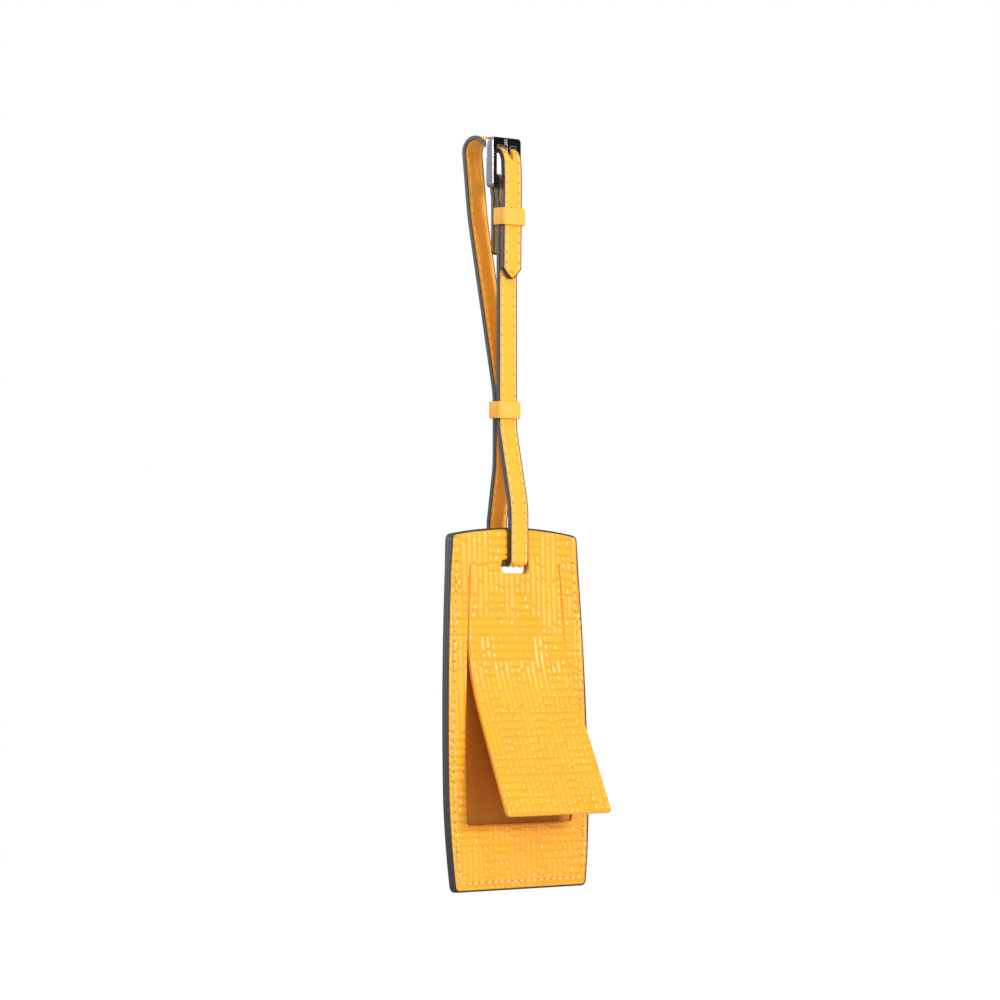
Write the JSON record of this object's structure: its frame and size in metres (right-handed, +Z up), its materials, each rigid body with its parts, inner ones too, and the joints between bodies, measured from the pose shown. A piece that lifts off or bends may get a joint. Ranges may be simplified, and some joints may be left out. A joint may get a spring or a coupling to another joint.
{
  "type": "luggage tag",
  "caption": "Leather luggage tag with a buckled hanging strap: an embossed card holder with a window flap that opens forward, stitched and edge painted.",
  "frame": {"origin": "the seat inside the top of the strap's loop, where the bag's handle bears, on the centre plane", "axes": "+Z up along the hanging strap, -Y out of the tag's front, where the flap opens, X across the tag's width"},
  "size_m": [0.0698, 0.0391, 0.2456],
  "materials": {
    "tag_leather": "yellow calf leather embossed with a raised bar pattern, satin",
    "lining_leather": "smooth yellow lining leather, soft satin",
    "board": "plain bonded leather board, matt",
    "edge_paint": "black edge paint, smooth satin",
    "thread": "waxed cream-yellow thread",
    "strap_leather": "smooth yellow leather, satin",
    "keeper_leather": "smooth yellow leather, matt",
    "buckle_metal": "black nickel plate, polished"
  },
  "bodies": {
    "strap": {"strap_face": "strap_leather", "strap_lining": "strap_leather", "strap_edge_coat": "edge_paint", "strap_needle_thread": "thread", "strap_bobbin_thread": "thread", "upper_keeper": "keeper_leather"},
    "tag": {"front_panel": "tag_leather", "front_lining": "lining_leather", "pocket_floor": "lining_leather", "stiffener": "board", "back_panel": "tag_leather", "tag_edge_coat": "edge_paint", "tag_needle_thread": "thread", "tag_bobbin_thread": "thread"},
    "flap": {"flap_panel": "tag_leather", "flap_lining": "lining_leather"},
    "keeper": {"lower_keeper": "keeper_leather"},
    "buckle": {"buckle_frame": "buckle_metal", "heel_bar": "buckle_metal"},
    "prong": {"prong": "buckle_metal"}
  },
  "joints": [
    {"name": "tag_swing", "type": "hinge", "parent": "strap", "child": "tag", "pos_m": [0, -0.0128, -0.1374], "axis": [1, 0, 0], "range_deg": [-10, 2]},
    {"name": "flap_open", "type": "hinge", "parent": "tag", "child": "flap", "pos_m": [0, -0.0152, -0.16985], "axis": [-1, 0, 0], "range_deg": [-19.2, 70]},
    {"name": "buckle_tilt", "type": "hinge", "parent": "strap", "child": "buckle", "pos_m": [0, -0.0091, -0.01435], "axis": [1, 0, 0], "range_deg": [-1, 1.5]},
    {"name": "prong_lift", "type": "hinge", "parent": "buckle", "child": "prong", "pos_m": [0, -0.0091, -0.01435], "axis": [1, 0, 0], "range_deg": [0, 1]},
    {"name": "keeper_slide", "type": "slide", "parent": "strap", "child": "keeper", "axis": [0, 0, 1], "range_m": [-0.002, 0.0025]}
  ]
}
